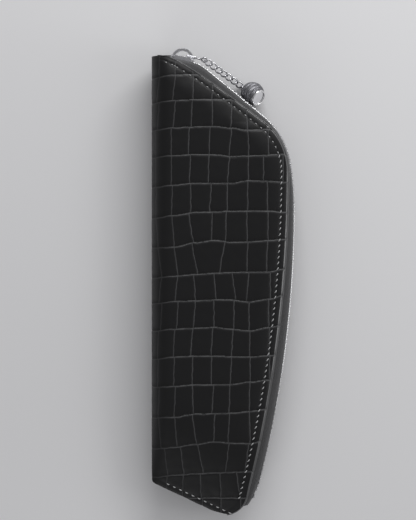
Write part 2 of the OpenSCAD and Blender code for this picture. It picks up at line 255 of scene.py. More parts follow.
@dataclass(frozen=True)
class Embossing:
    """A crocodile-style plate: wavy rows, split into scales by grooves that shift from row to row."""

    knots: tuple[float, ...] = (0.5, 8.0, 16.0, 23.0, 28.5, 35.0, 42.0, 47.0)
    rows: tuple[tuple[float, ...], ...] = (
        (156.6, 157.5, 157.9, 157.9, 157.6, 157.4, 157.2, 157.0),
        (147.7, 148.4, 148.7, 148.9, 148.9, 148.6, 148.4, 148.2),
        (138.0, 138.7, 139.1, 139.2, 138.6, 137.8, 138.3, 138.8),
        (128.3, 128.8, 129.2, 129.1, 128.5, 128.7, 129.0, 129.4),
        (117.6, 118.3, 119.0, 119.0, 119.0, 119.9, 119.7, 119.4),
        (106.5, 107.5, 108.7, 108.8, 109.0, 109.2, 109.1, 108.6),
        (96.1, 96.2, 97.9, 98.7, 98.0, 98.1, 98.6, 99.0),
        (85.2, 85.9, 86.5, 87.0, 87.2, 87.4, 87.4, 88.4),
        (76.0, 76.9, 77.2, 77.5, 77.4, 76.8, 77.7, 79.0),
        (66.3, 67.1, 67.5, 67.7, 67.1, 66.5, 67.6, 68.5),
        (56.2, 57.2, 57.5, 57.5, 57.3, 57.2, 57.6, 58.2),
        (46.3, 46.7, 47.3, 47.3, 47.4, 48.3, 48.9, 49.2),
        (35.2, 35.7, 36.9, 37.1, 37.2, 37.8, 38.5, 38.9),
        (24.0, 24.8, 26.0, 27.0, 26.5, 26.3, 27.6, 28.0),
        (13.6, 14.6, 15.2, 15.6, 15.9, 16.1, 16.2, 16.3),
        (5.6, 5.9, 6.2, 6.4, 6.4, 6.3, 6.3, 6.3))
    columns: tuple[tuple[tuple[float, float], ...], ...] = (
        ((8.7, 8.5), (15.0, 15.0)),
        ((8.6, 7.6), (14.9, 14.9), (22.2, 21.6)),
        ((8.7, 7.9), (14.7, 14.2), (21.8, 21.8), (28.8, 28.4), (34.0, 34.2)),
        ((7.2, 7.2), (13.6, 13.2), (21.0, 20.6), (28.6, 27.8), (34.4, 34.8), (41.6, 41.8)),
        ((7.2, 7.2), (14.0, 13.6), (20.5, 20.4), (27.9, 27.2), (34.6, 34.6), (40.0, 40.0)),
        ((7.6, 7.2), (14.0, 14.2), (21.4, 20.8), (27.1, 27.1), (34.4, 34.4), (41.4, 41.4)),
        ((7.4, 8.2), (13.4, 15.0), (21.8, 21.5), (26.8, 26.4), (34.0, 34.2), (41.6, 41.6)),
        ((8.2, 9.6), (14.4, 16.6), (26.2, 24.4), (34.4, 34.0)),
        ((9.4, 8.5), (15.1, 15.8), (22.3, 23.2), (28.8, 30.2), (34.9, 33.9), (42.4, 42.5)),
        ((9.6, 9.1), (15.8, 15.0), (22.3, 22.4), (29.5, 29.4), (34.8, 34.9)),
        ((8.4, 7.9), (14.8, 14.0), (22.0, 21.2), (29.2, 28.5), (35.2, 35.0)),
        ((8.3, 8.0), (14.8, 14.6), (21.6, 21.4), (28.7, 28.1), (35.2, 35.2)),
        ((8.7, 8.1), (14.7, 15.0), (22.3, 21.6), (28.0, 27.8), (35.1, 35.0)),
        ((8.4, 9.2), (14.6, 16.1), (22.7, 22.3), (28.0, 27.2), (35.0, 35.2)),
        ((10.4, 11.6), (16.5, 18.6), (27.8, 26.4)),
        ((11.4, 10.9), (17.4, 17.9), (24.5, 24.9), (30.4, 31.8)),
        ((18.2, 18.2), (24.9, 24.9)))
    row_wave: float = 0.16
    column_wave: float = 0.22
    pebble: float = 0.05
    depth: float = 0.36
    line: float = 0.25
    fall: float = 1.3
    shoulder: float = 1.1
    groove_share: float = 0.7
    rolled_share: float = 0.62
    shoulder_share: float = 0.2
    row_above: float = 10.0
    row_below: float = 9.0
    fold_column: float = 5.8
    spare_column: float = 7.0
    fold_press: float = 0.3
    press_from: float = 1.0
    press_run: float = 12.0

    def row_y(self, row: int, x: float) -> float:
        """Gives the height of a row's groove at a place across.

        Args:
            row: its number from the top; one past either end is made up.
            x: place across.

        Returns:
            The place up.
        """
        if row < 0:
            return self.row_y(0, x) + self.row_above
        if row >= len(self.rows):
            return self.row_y(len(self.rows) - 1, x) - self.row_below
        values = self.rows[row]
        k = max(0, min(bisect.bisect_left(self.knots, x), len(self.knots) - 1) - 1)
        share = smooth((x - self.knots[k]) / (self.knots[k + 1] - self.knots[k]))
        wave = self.row_wave * noise.noise((x * 0.45, row * 3.7, 1.0))
        return values[k] * (1 - share) + values[k + 1] * share + wave

    def line_y(self, row: int, x: float, side: Side) -> float:
        """Gives a row's groove on one side; on the back it starts where the front's ends at the fold.

        Args:
            row: its number from the top.
            x: place across.
            side: the side.

        Returns:
            The place up.
        """
        if side is Side.FRONT:
            return self.row_y(row, x)
        far = self.knots[-1]
        return self.row_y(row, 0.0) + self.row_y(row, far - x) - self.row_y(row, far)

    def relief(self, x: float, y: float, side: Side) -> tuple[float, Vector]:
        """Gives the surface's rise at a point of the plan, and where it lies on the plate.

        Args:
            x: place across.
            y: place up.
            side: the back carries the rows on round the fold.

        Returns:
            The rise in millimetres, and a vector of the row's number, the column's number and the
            column's width; both numbers are whole on a groove.
        """
        row = 0
        while row < len(self.rows) and y < self.line_y(row, x, side):
            row += 1
        top, bottom = self.line_y(row - 1, x, side), self.line_y(row, x, side)
        round_fold = x
        if side is Side.BACK:
            x = self.knots[-1] - x
        share = (top - y) / max(1e-6, top - bottom)
        drift = self.column_wave
        places = [start + (end - start) * share + drift * noise.noise((y * 0.5, start * 1.7, 4.0))
                  for start, end in self.columns[min(row, len(self.columns) - 1)]]
        fold = places[0] - self.fold_column
        spares = (places[-1] + self.spare_column * i for i in range(1, 7))
        walls = [fold - self.spare_column, fold, *places, *spares]
        column = max(0, sum(1 for wall in walls if wall <= x) - 1)
        column = min(column, len(walls) - 2)
        width = walls[column + 1] - walls[column]
        part = (x - walls[column]) / width
        across = min(part, 1 - part) * width
        groove = bell(min(top - y, y - bottom), self.line)
        deep = self.groove_share * max(groove, 0.7 * bell(across, self.line))
        rolled = self.rolled_share * math.exp(-(y - bottom) / self.fall)
        shoulder = self.shoulder_share * math.exp(-across / self.shoulder)
        press = min(1.0, max(self.fold_press, (round_fold - self.press_from) / self.press_run))
        rise = -self.depth * press * (deep + rolled + shoulder)
        pebble = self.pebble * noise.noise((round_fold * 0.35, y * 0.35, 9.0))
        return rise + pebble, Vector((row + share, column + part, width))


EMBOSSING = Embossing()


# --- Shader groups and finishes ---


class Wiring:
    """Adds nodes to a shader tree and wires them."""

    def __init__(self, tree: Tree) -> None:
        """Keeps the tree to work in."""
        self.tree = tree

    def feed(self, node: Node, slot: int | str, value: Socket | tuple[float, ...] | float) -> None:
        """Feeds a node's input.

        Args:
            node: the node.
            slot: the input's place or name.
            value: a socket, a number or a colour.
        """
        if isinstance(value, Socket):
            self.tree.links.new(value, node.inputs[slot])
        else:
            node.inputs[slot].default_value = value

    def node(self, kind: str, *values: Socket | tuple[float, ...] | float) -> Node:
        """Adds a node.

        Args:
            kind: the end of its type's name, such as Math.
            values: what its inputs are fed, in order.

        Returns:
            The new node.
        """
        made = self.tree.nodes.new(f"ShaderNode{kind}")
        for slot, value in enumerate(values):
            self.feed(made, slot, value)
        return made

    def __call__(self, kind: str, *values: Socket | float) -> Socket:
        """Adds a math node.

        Args:
            kind: what it works out.
            values: sockets or numbers.

        Returns:
            Its output.
        """
        made = self.node("Math", *values)
        made.operation = kind
        return made.outputs["Value"]

    def span(self, value: Socket, low: float, high: float, at_low: Socket | float,
             at_high: Socket | float, ease: str = "SMOOTHSTEP") -> Socket:
        """Maps a value from one range onto another.

        Args:
            value: the value's socket.
            low: where the first range starts.
            high: where it ends.
            at_low: what low becomes.
            at_high: what high becomes.
            ease: SMOOTHSTEP or LINEAR.

        Returns:
            The mapped value's socket.
        """
        made = self.node("MapRange", value, low, high, at_low, at_high)
        made.interpolation_type = ease
        return made.outputs["Result"]

    def fall(self, distance: Socket, width: Socket) -> Socket:
        """Gives a soft line: 1 where the distance is none, near 0 from twice the width."""
        ratio = self("DIVIDE", distance, width)
        return self("EXPONENT", self("MULTIPLY", self("MULTIPLY", ratio, ratio), -1.0))

    def noise(self, vector: Socket, scale: float, detail: float = 2.0) -> Socket:
        """Adds a noise texture at a scale and detail and gives its value."""
        return self.node("TexNoise", vector, 0.0, scale, detail).outputs["Fac"]

    def streaks(self, vector: Socket, scale: Triple) -> Socket:
        """Adds noise drawn out by its own scale along each axis and gives its value."""
        still = (0.0, 0.0, 0.0)
        return self.noise(self.node("Mapping", vector, still, still, scale).outputs["Vector"], 1.0)

    def split(self, vector: Socket) -> tuple[Socket, ...]:
        """Gives a vector's X, Y and Z."""
        return tuple(self.node("SeparateXYZ", vector).outputs)


class Group(Wiring):
    """A shader group that is being built."""

    def __init__(self, name: str, vectors: tuple[str, ...], numbers: dict[str, float],
                 results: tuple[str, ...]) -> None:
        """Starts the group with its named sockets.

        Args:
            name: the group's name.
            vectors: its vector inputs.
            numbers: its number inputs with their default values.
            results: its outputs.
        """
        super().__init__(bpy.data.node_groups.new(name, "ShaderNodeTree"))
        face = self.tree.interface
        for vector in vectors:
            face.new_socket(vector, in_out="INPUT", socket_type="NodeSocketVector")
        for number, value in numbers.items():
            face.new_socket(number, in_out="INPUT", socket_type="NodeSocketFloat").default_value = value
        for result in results:
            face.new_socket(result, in_out="OUTPUT", socket_type="NodeSocketFloat")
        self.inputs = self.tree.nodes.new("NodeGroupInput").outputs
        self.end = self.tree.nodes.new("NodeGroupOutput")

    def ended(self, **results: Socket) -> Tree:
        """Wires the named results and gives the finished group.

        Args:
            results: the socket for each output.

        Returns:
            The group.
        """
        for name, socket in results.items():
            self.feed(self.end, name, socket)
        return self.tree


class ShaderGroups:
    """Effects that several finishes share, each built once."""

    def __init__(self) -> None:
        """Builds the groups."""
        self.grain = self._grain()
        self.scales = self._scales()
        self.weave = self._weave()
        self.wear = self._wear()

    @staticmethod
    def _grain() -> Tree:
        """Builds fine pores and hairline creases, as a height, with a slow cloud for colour.

        Returns:
            The group.
        """
        group = Group("leather_grain", ("Vector",), {"Pore Scale": 2200.0}, ("Height", "Cloud"))
        vector = group.inputs["Vector"]
        pores = group.node("TexVoronoi", vector)
        pores.feature = "DISTANCE_TO_EDGE"
        group.feed(pores, "Scale", group.inputs["Pore Scale"])
        soft = group.span(pores.outputs["Distance"], 0.0, 0.3, 0.0, 1.0, "LINEAR")
        height = group("MULTIPLY_ADD", soft, 0.6, group.noise(vector, 900.0, 5.0))
        return group.ended(Height=height, Cloud=group.noise(vector, 70.0, 3.0))

    @staticmethod
    def _scales() -> Tree:
        """Builds the sharp lines of the embossing from the plate's row, column and width; Line also lightens
        the leather's colour as a painted highlight, and Shade darkens the band above each line and its
        creases as painted shade.

        Returns:
            The group.
        """
        row_height = 10.2
        fold_side, full_side = -0.0245, -0.0125
        group = Group("scale_lines", ("Plate", "Vector"), {}, ("Height", "Line", "Shade"))
        rows, columns, widths = group.split(group.inputs["Plate"])
        vector = group.inputs["Vector"]
        row = group("FRACT", rows)
        below = group("MULTIPLY", row, row_height)
        above = group("MULTIPLY", group("SUBTRACT", 1.0, row), row_height)
        part = group("FRACT", columns)
        across = group("MULTIPLY", group("MINIMUM", part, group("SUBTRACT", 1.0, part)), widths)
        width = group("MULTIPLY_ADD", group.noise(vector, 650.0), 0.22, 0.1)
        flat_line = group.fall(group("MINIMUM", below, above), width)
        tall_line = group.fall(across, group("MULTIPLY", width, 0.8))
        fade = group.span(group.split(vector)[0], fold_side, full_side, 0.3, 1.0)
        line = group("MULTIPLY", group("MAXIMUM", flat_line, group("MULTIPLY", tall_line, 0.75)), fade)
        # Painted shade: the band where each scale rolls down to the groove below, with its creases, is given
        # out as Shade to darken the colour.
        band = group.span(above, 0.1, 2.0, 1.0, 0.0)
        ticks = group.streaks(vector, (2600.0, 240.0, 300.0))
        tick = group("MULTIPLY", group.span(ticks, 0.5, 0.68, 0.0, 1.0), group("MULTIPLY", band, fade))
        height = group("SUBTRACT", group("MULTIPLY", line, -1.0), group("MULTIPLY", tick, 0.45))
        shade = group("MAXIMUM", group("MULTIPLY", band, 0.6), tick)
        return group.ended(Height=height, Line=line, Shade=shade)

    @staticmethod
    def _weave() -> Tree:
        """Builds a chevron twill from a UV given in millimetres, as a height and a thread mask.

        Returns:
            The group.
        """
        chevron, yarn_pitch = 0.9, 0.28
        group = Group("chevron_weave", ("Vector",), {"Rib": 0.34}, ("Height", "Thread"))
        along, over, _ = group.split(group.inputs["Vector"])
        slant = group("ADD", along, group("PINGPONG", over, chevron))
        wave = group("SINE", group("MULTIPLY", group("DIVIDE", slant, group.inputs["Rib"]), 2 * math.pi))
        rib = group("ADD", group("MULTIPLY", wave, 0.5), 0.5)
        yarn = group("SINE", group("MULTIPLY", over, 2 * math.pi / yarn_pitch))
        return group.ended(Height=group("ADD", rib, group("MULTIPLY", yarn, 0.22)), Thread=rib)

    @staticmethod
    def _wear() -> Tree:
        """Builds fine scratches and a dull cloud for metal, as a roughness and a height.

        Returns:
            The group.
        """
        group = Group("metal_wear", ("Vector",), {"Low": 0.18, "High": 0.34}, ("Roughness", "Height"))
        vector, low, high = (group.inputs[name] for name in ("Vector", "Low", "High"))
        rough = group.span(group.noise(vector, 420.0, 4.0), 0.3, 0.7, low, high, "LINEAR")
        return group.ended(Roughness=rough, Height=group.streaks(vector, (400.0, 5200.0, 2600.0)))


class Paint(Wiring):
    """The nodes of one material, round its Principled shader."""

    def __init__(self, material: Material) -> None:
        """Keeps the material's nodes and its shader."""
        super().__init__(material.node_tree)
        self.shader = self.tree.nodes["Principled BSDF"]

    def drive(self, name: str, value: Socket | tuple[float, ...] | float) -> None:
        """Feeds the shader's named input."""
        self.feed(self.shader, name, value)

    def bump(self, height: Socket, distance: float, strength: float) -> Node:
        """Feeds a height to the shader's normal.

        Args:
            height: the height's socket.
            distance: how far the bump stands, in metres.
            strength: the bump's strength.

        Returns:
            The bump's node.
        """
        made = self.node("Bump")
        for name, value in (("Distance", distance), ("Strength", strength), ("Height", height)):
            self.feed(made, name, value)
        self.drive("Normal", made.outputs["Normal"])
        return made

    def group(self, group: Tree, coordinate: str) -> Node:
        """Places a shared group.

        Args:
            group: the group.
            coordinate: Object or UV, for its vector.

        Returns:
            The group's node.
        """
        made = self.node("Group")
        made.node_tree = group
        self.feed(made, "Vector", self.node("TexCoord").outputs[coordinate])
        return made

    def ramp(self, factor: Socket, low: Socket | Triple, high: Triple) -> Socket:
        """Blends two colours.

        Args:
            factor: the share of the second.
            low: the first, or its socket.
            high: the second.

        Returns:
            The colour's socket.
        """
        mix = self.node("Mix")
        mix.data_type = "RGBA"
        first = low if isinstance(low, Socket) else (*low, 1.0)
        factor_in, first_in, second_in, colour_out = 0, 6, 7, 2
        for slot, value in ((factor_in, factor), (first_in, first), (second_in, (*high, 1.0))):
            self.feed(mix, slot, value)
        return mix.outputs[colour_out]


@dataclass(frozen=True)
class Finish:
    """A finish with constant values on the shader's own sockets; kinds add their nodes in paint()."""

    name: str
    colour: Triple
    roughness: float
    metallic: float = 0.0
    specular: float = 0.5
    coat: float = 0.0
    sheen: float = 0.0

    def material(self, groups: ShaderGroups) -> Material:
        """Builds the material.

        Args:
            groups: the shared shader groups.

        Returns:
            The material.
        """
        made = bpy.data.materials.new(self.name)
        made.use_nodes = True
        paint = Paint(made)
        values = {"Base Color": (*self.colour, 1.0), "Roughness": self.roughness, "Metallic": self.metallic,
                  "Specular IOR Level": self.specular, "Coat Weight": self.coat, "Coat Roughness": 0.2,
                  "Sheen Weight": self.sheen, "Sheen Roughness": 0.5}
        for name, value in values.items():
            paint.drive(name, value)
        self.paint(paint, groups)
        return made

    def paint(self, paint: Paint, groups: ShaderGroups) -> None:
        """Adds the nodes of this kind of finish.

        Args:
            paint: the material's nodes.
            groups: the shared shader groups.
        """
        raise NotImplementedError


@dataclass(frozen=True)
class EmbossedLeather(Finish):
    """Semi-gloss leather: sharp embossed lines, fine creases beside them, and pores everywhere; the lines are
    lightened as a painted highlight, and the band above each line is darkened as painted shade.
    """

    # Painted highlight: the lighter colour of the embossed lines stands in for light caught on the groove
    # edges.
    groove_highlight_colour: Triple = (0.1, 0.1, 0.103)
    # Painted shade: the dark colour of the band above each groove and its creases.
    shade_colour: Triple = (0.003, 0.003, 0.003)
    line_depth: float = 0.00016
    pore_depth: float = 0.00003
    cloud: float = 0.08

    def paint(self, paint: Paint, groups: ShaderGroups) -> None:
        """Adds pores, clouded gloss and the embossed lines.

        Args:
            paint: the material's nodes.
            groups: the shared shader groups.
        """
        grain = paint.group(groups.grain, "Object").outputs
        scales = paint.group(groups.scales, "Object")
        plate = paint.node("Attribute")
        plate.attribute_name = "plate"
        paint.feed(scales, "Plate", plate.outputs["Vector"])
        scales = scales.outputs
        # The band above each groove and its creases are darkened as painted shade.
        shaded = paint.ramp(scales["Shade"], self.colour, self.shade_colour)
        # The embossed lines are lightened over the rest as a painted highlight.
        paint.drive("Base Color", paint.ramp(scales["Line"], shaded, self.groove_highlight_colour))
        low, high = self.roughness - self.cloud, self.roughness + self.cloud
        cloud = paint.span(grain["Cloud"], 0.0, 1.0, low, high, "LINEAR")
        paint.drive("Roughness", paint("MULTIPLY_ADD", scales["Shade"], 0.25, cloud))
        pores = paint.bump(grain["Height"], self.pore_depth, 0.35)
        lines = paint.bump(scales["Height"], self.line_depth, 0.9)
        paint.feed(lines, "Normal", pores.outputs["Normal"])


@dataclass(frozen=True)
class WovenTape(Finish):
    """Polyester tape with a chevron weave that follows its own map."""

    light: Triple = (0.085, 0.085, 0.088)

    def paint(self, paint: Paint, groups: ShaderGroups) -> None:
        """Adds the weave's tone and height.

        Args:
            paint: the material's nodes.
            groups: the shared shader groups.
        """
        weave = paint.group(groups.weave, "UV").outputs
        paint.drive("Base Color", paint.ramp(weave["Thread"], self.colour, self.light))
        paint.bump(weave["Height"], 0.00012, 0.6)


@dataclass(frozen=True)
class Metal(Finish):
    """Plated metal with a clouded gloss and hairline scratches."""

    low: float = 0.16
    high: float = 0.32
    scratch: float = 0.000004

    def paint(self, paint: Paint, groups: ShaderGroups) -> None:
        """Adds the clouded gloss and the scratches.

        Args:
            paint: the material's nodes.
            groups: the shared shader groups.
        """
        wear = paint.group(groups.wear, "Object")
        paint.feed(wear, "Low", self.low)
        paint.feed(wear, "High", self.high)
        paint.drive("Roughness", wear.outputs["Roughness"])
        paint.bump(wear.outputs["Height"], self.scratch, 0.3)


@dataclass(frozen=True)
class SmoothSkin(Finish):
    """A smooth soft surface with fine grain: lining, painted edge or thread."""

    pore_scale: float = 3200.0
    depth: float = 0.00002

    def paint(self, paint: Paint, groups: ShaderGroups) -> None:
        """Adds the fine grain and a clouded tone.

        Args:
            paint: the material's nodes.
            groups: the shared shader groups.
        """
        grain = paint.group(groups.grain, "Object")
        paint.feed(grain, "Pore Scale", self.pore_scale)
        dark = tuple(value * 0.72 for value in self.colour)
        paint.drive("Base Color", paint.ramp(grain.outputs["Cloud"], dark, self.colour))
        paint.bump(grain.outputs["Height"], self.depth, 0.4)


class Finishes:
    """Every finish of the case, built once."""

    def __init__(self) -> None:
        """Builds the materials."""
        groups = ShaderGroups()

        def metal(name: str, colour: Triple, roughness: float, **values: float) -> Material:
            """Builds a fully metallic finish."""
            return Metal(name, colour, roughness, 1.0, **values).material(groups)

        def skin(name: str, colour: Triple, roughness: float, **values: float) -> Material:
            """Builds a smooth soft finish."""
            return SmoothSkin(name, colour, roughness, **values).material(groups)

        self.leather = EmbossedLeather("embossed_leather", (0.0085, 0.0085, 0.009), 0.46,
                                       specular=0.26).material(groups)
        # The edge paint and its coat are real; its light grey is a painted highlight for light caught by the
        # cut edge and its outer corner.
        self.edge_paint_highlight = skin("edge_paint_highlight", (0.12, 0.12, 0.122), 0.3, specular=0.6, coat=0.3,
                               pore_scale=1400.0)
        self.lining = skin("lining_skin", (0.028, 0.026, 0.025), 0.62, sheen=0.15)
        # The thread's light grey is partly its own tone and partly a painted highlight for the glints on the
        # stitches.
        self.thread = skin("waxed_thread", (0.46, 0.46, 0.465), 0.36, specular=0.6, pore_scale=5200.0)
        self.tape = WovenTape("woven_tape", (0.02, 0.02, 0.021), 0.7, sheen=0.25).material(groups)
        self.teeth = metal("nickel_teeth", (0.62, 0.62, 0.63), 0.3, low=0.22, high=0.38)
        self.slider = metal("cast_slider", (0.56, 0.56, 0.58), 0.25, low=0.16, high=0.34)
        self.spring = metal("spring_steel", (0.45, 0.45, 0.47), 0.4, low=0.3, high=0.5)
        self.chain = metal("chain_wire", (0.6, 0.6, 0.62), 0.22, low=0.14, high=0.3)
        self.ball = metal("satin_ball", (0.22, 0.22, 0.235), 0.42, low=0.34, high=0.5, scratch=0.000008)
        self.rim = metal("bright_rim", (0.86, 0.86, 0.87), 0.12, low=0.08, high=0.16)
        self.disc = metal("polished_disc", (0.8, 0.8, 0.82), 0.1, low=0.06, high=0.13)


# --- Mesh helpers ---


def linked(name: str, data: bpy.types.ID | None) -> Piece:
    """Makes an object in the scene.

    Args:
        name: its name.
        data: its mesh, lamp or camera.

    Returns:
        The new object.
    """
    made = bpy.data.objects.new(name, data)
    bpy.context.scene.collection.objects.link(made)
    return made


def finished(bm: Mesh, name: str, materials: list[Material]) -> Piece:
    """Turns a bmesh into a linked object at the origin.

    Args:
        bm: the mesh, in metres in the shared frame; it is freed.
        name: the piece's name.
        materials: its material slots.

    Returns:
        The new object.
    """
    mesh = bpy.data.meshes.new(name)
    for face in bm.faces:
        face.smooth = True
    bm.to_mesh(mesh)
    bm.free()
    for material in materials:
        mesh.materials.append(material)
    return linked(name, mesh)


def grid(rows: int, cols: int) -> tuple[Mesh, list[list[Vert]]]:
    """Makes a flat grid to be shaped.

    Args:
        rows: number of rows of points.
        cols: number of points in a row.

    Returns:
        The bmesh, and its points by row and column.
    """
    bm = bmesh.new()
    bm.verts.layers.float_vector.new("plate")
    bm.loops.layers.uv.new("weave")
    bmesh.ops.create_grid(bm, x_segments=cols - 1, y_segments=rows - 1, size=1)
    points = sorted(bm.verts, key=lambda v: (round(v.co.y, 6), round(v.co.x, 6)))
    return bm, [points[r * cols:(r + 1) * cols] for r in range(rows)]


def close_tube(bm: Mesh, table: list[list[Vert]]) -> None:
    """Joins a grid's first and last columns into a tube and closes its two ends.

    Args:
        bm: the grid's bmesh.
        table: its points by row and column.
    """
    cut = [bm.faces.new((low[-1], low[0], high[0], high[-1])) for low, high in zip(table, table[1:])]
    cut += [bm.faces.new(row) for row in (table[0], table[-1])]
    for edge in {edge for face in cut for edge in face.edges}:
        edge.smooth = False
    bmesh.ops.recalc_face_normals(bm, faces=bm.faces)


def declared(piece: Piece, body: str, node: str = "") -> Piece:
    """Puts a piece on its body, or bakes a flap piece in place, and hides the CAD node that it replaces.

    Args:
        piece: the finished piece.
        body: the body it rides on; a piece of the mouth's flap is baked in place instead.
        node: the CAD node it stands for, if any.

    Returns:
        The same piece.
    """
    if body == "flap":
        bend(piece)
    else:
        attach(piece, body)
    if node:
        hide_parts(node)
    return piece


def copied(node: str) -> Mesh:
    """Copies a CAD node's mesh with its loose triangles merged.

    Args:
        node: the node's name.

    Returns:
        The mesh.
    """
    bm = bmesh.new()
    bm.from_mesh(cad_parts[node].data)
    bmesh.ops.remove_doubles(bm, verts=bm.verts, dist=1e-7)
    return bm


def eased(node: str, name: str, material: Material, width: float, segments: int = 2,
          flat: float = 1.0) -> Piece:
    """Makes a cast piece from a CAD node: its flats are merged and its sharp edges rounded.

    Args:
        node: the CAD node it stands for.
        name: the piece's name.
        material: its finish.
        width: the rounding, in millimetres.
        segments: steps of the rounding.
        flat: faces that meet at fewer degrees than this are merged.

    Returns:
        The new object.
    """
    bm = copied(node)
    bmesh.ops.dissolve_limit(bm, angle_limit=math.radians(flat), verts=bm.verts, edges=bm.edges)
    sharp = [e for e in bm.edges if len(e.link_faces) == 2 and e.calc_face_angle() > ROUNDED_FROM]
    bmesh.ops.bevel(bm, geom=sharp, offset=width * MM, segments=segments, profile=0.5, affect="EDGES",
                    clamp_overlap=True, material=-1)
    made = finished(bm, name, [material])
    made.data.set_sharp_from_angle(angle=CAST_SHARP)
    return made


# --- Leather ---


def stations(counts: tuple[int, ...]) -> list[float]:
    """Gives the stations of rows spread over an outline by their count on each stretch."""
    found = [i + j / n for i, n in enumerate(counts) for j in range(n)]
    return found + [float(len(counts))]


@dataclass
class LeatherSheet:
    """One face of the folded leather: embossed outside, plain inside, with a rounded painted edge.

    Lengths are in millimetres; slope_end, side_from and side_end are stations on the edge.
    """

    side: Side
    row_counts: tuple[int, ...]
    columns: int
    inner_columns: int = 12
    edge_steps: int = 6
    edge_bulge: float = 0.32
    # Outer columns of the top given the edge's light grey as a painted highlight along the corner.
    highlight_columns: int = 3
    stitch_inset: float = 2.6
    slope_inset: float = 2.05
    seam_inset: float = 2.0
    stitch_dip: float = 0.05
    dip_width: float = 0.55
    hole_dip: float = 0.2
    hole_across: float = 0.42
    hole_along: float = 0.6
    lip_drop: float = 0.22
    lip_width: float = 0.4
    spine_round: float = 0.35
    clear_spine: float = 3.0
    highest: float = 0.1
    back_lower: float = 0.12
    back_lower_run: float = 5.0
    hole_reach: float = 1.5
    turn_gap: float = 0.6
    slope_end: float = 4.6
    side_end: float = 9.35
    slope_stitches: tuple[float, ...] = (3.8, 6.4, 7.6, 8.6, 11.4, 14.1, 16.8)
    side_from: float = 5.7
    pitch_slope: float = 2.42
    pitch_side: float = 2.05
    runs: list[float] = field(default_factory=list)

    def across(self, share: float, left: float, right: float, depth: float) -> float:
        """Gives a place across a row at an even share of the surface's own length.

        Args:
            share: share of the row, from 0 at the spine to 1.
            left: the row's start.
            right: the row's end.
            depth: depth below the outside.

        Returns:
            The place across.
        """
        radius = FORM.fold_r - depth
        start, end = left + depth, right

        def angle(x: float) -> float:
            """Gives how far round the fold a place lies."""
            return math.acos(max(-1.0, min(1.0, 1 - (x - depth) / radius)))

        first, last = angle(min(start, FORM.fold_r)), angle(min(end, FORM.fold_r))
        arc = radius * (last - first)
        flat = max(0.0, end - max(start, FORM.fold_r))
        run = share * (arc + flat)
        if run < arc:
            return depth + radius * (1 - math.cos(first + run / radius))
        return max(start, FORM.fold_r) + run - arc

    def surface(self, x: float, y: float, right: float, heading: float, depth: float) -> Vector:
        """Gives a point of the plain surface, at a depth below the outside.

        Args:
            x: place across.
            y: place up.
            right: the row's end at the zip.
            heading: the edge's heading there.
            depth: the depth.

        Returns:
            The point.
        """
        edge_distance = (right - x) * abs(math.sin(heading))
        z = (FORM.height(x, y, edge_distance) - depth) * FORM.fold(x, depth)
        return Vector((x, y, self.side.value * z))

    def inset(self, station: float) -> float:
        """Gives how far inside the edge the sewn line runs at a station."""
        return self.slope_inset + (self.stitch_inset - self.slope_inset) * smooth(station - self.slope_end)

    def stitch_runs(self) -> list[float]:
        """Gives every stitch's distance along the edge: the backstitches, the slope's and the side's.

        Returns:
            The distances in millimetres, in order.
        """
        turn = FORM.edge.run(self.side_from)
        runs = list(self.slope_stitches)
        while runs[-1] + self.pitch_slope < turn - self.turn_gap:
            runs.append(runs[-1] + self.pitch_slope)
        count = int((FORM.edge.run(self.side_end) - turn) / self.pitch_side)
        return runs + [turn + i * self.pitch_side for i in range(count)]

    def stitch_at(self, along: float) -> float:
        """Gives the distance from a place along the edge to the nearest stitch of the sewn line.

        Args:
            along: distance along the edge.

        Returns:
            The distance to the stitch.
        """
        if not self.runs:
            self.runs = self.stitch_runs()
        place = bisect.bisect(self.runs, along)
        return min(abs(along - run) for run in self.runs[max(0, place - 1):place + 1])

    def outside(self, x: float, y: float, right: float, heading: float,
                station: float) -> tuple[Vector, Vector]:
        """Gives a point of the embossed outside.

        Args:
            x: place across.
            y: place up.
            right: the row's end at the zip.
            heading: the edge's heading there.
            station: the row's station on the edge.

        Returns:
            The point and where it lies on the embossing plate.
        """
        here = self.surface(x, y, right, heading, 0.0)
        step = 0.25
        dx = self.surface(x + step, y, right + step, heading, 0.0) - here
        dy = self.surface(x, y + step, right, heading, 0.0) - here
        normal = dx.cross(dy).normalized() * self.side.value
        if x < self.spine_round:
            normal = Vector((-1.0, 0.0, 0.0)).lerp(normal, x / self.spine_round).normalized()
        rise, plate = EMBOSSING.relief(x, y, self.side)
        edge_distance = (right - x) * abs(math.sin(heading))
        clear = min(1.0, x / self.clear_spine) ** 2
        sewn = self.inset(station)
        for distance, inset in ((edge_distance, sewn), (FORM.seam_distance(x, y), self.seam_inset)):
            rise -= clear * self.stitch_dip * bell(distance - inset, self.dip_width)
            rise -= clear * self.lip_drop * bell(max(0.0, distance), self.lip_width)
        if abs(edge_distance - sewn) < self.hole_reach:
            along = self.stitch_at(FORM.edge.run(station) + (x - right) * math.cos(heading))
            hole = bell(edge_distance - sewn, self.hole_across) * bell(along, self.hole_along)
            rise -= self.hole_dip * hole
        lower = self.back_lower * min(1.0, x / self.back_lower_run) if self.side is Side.BACK else 0.0
        return here + normal * min(self.highest - lower, rise), plate

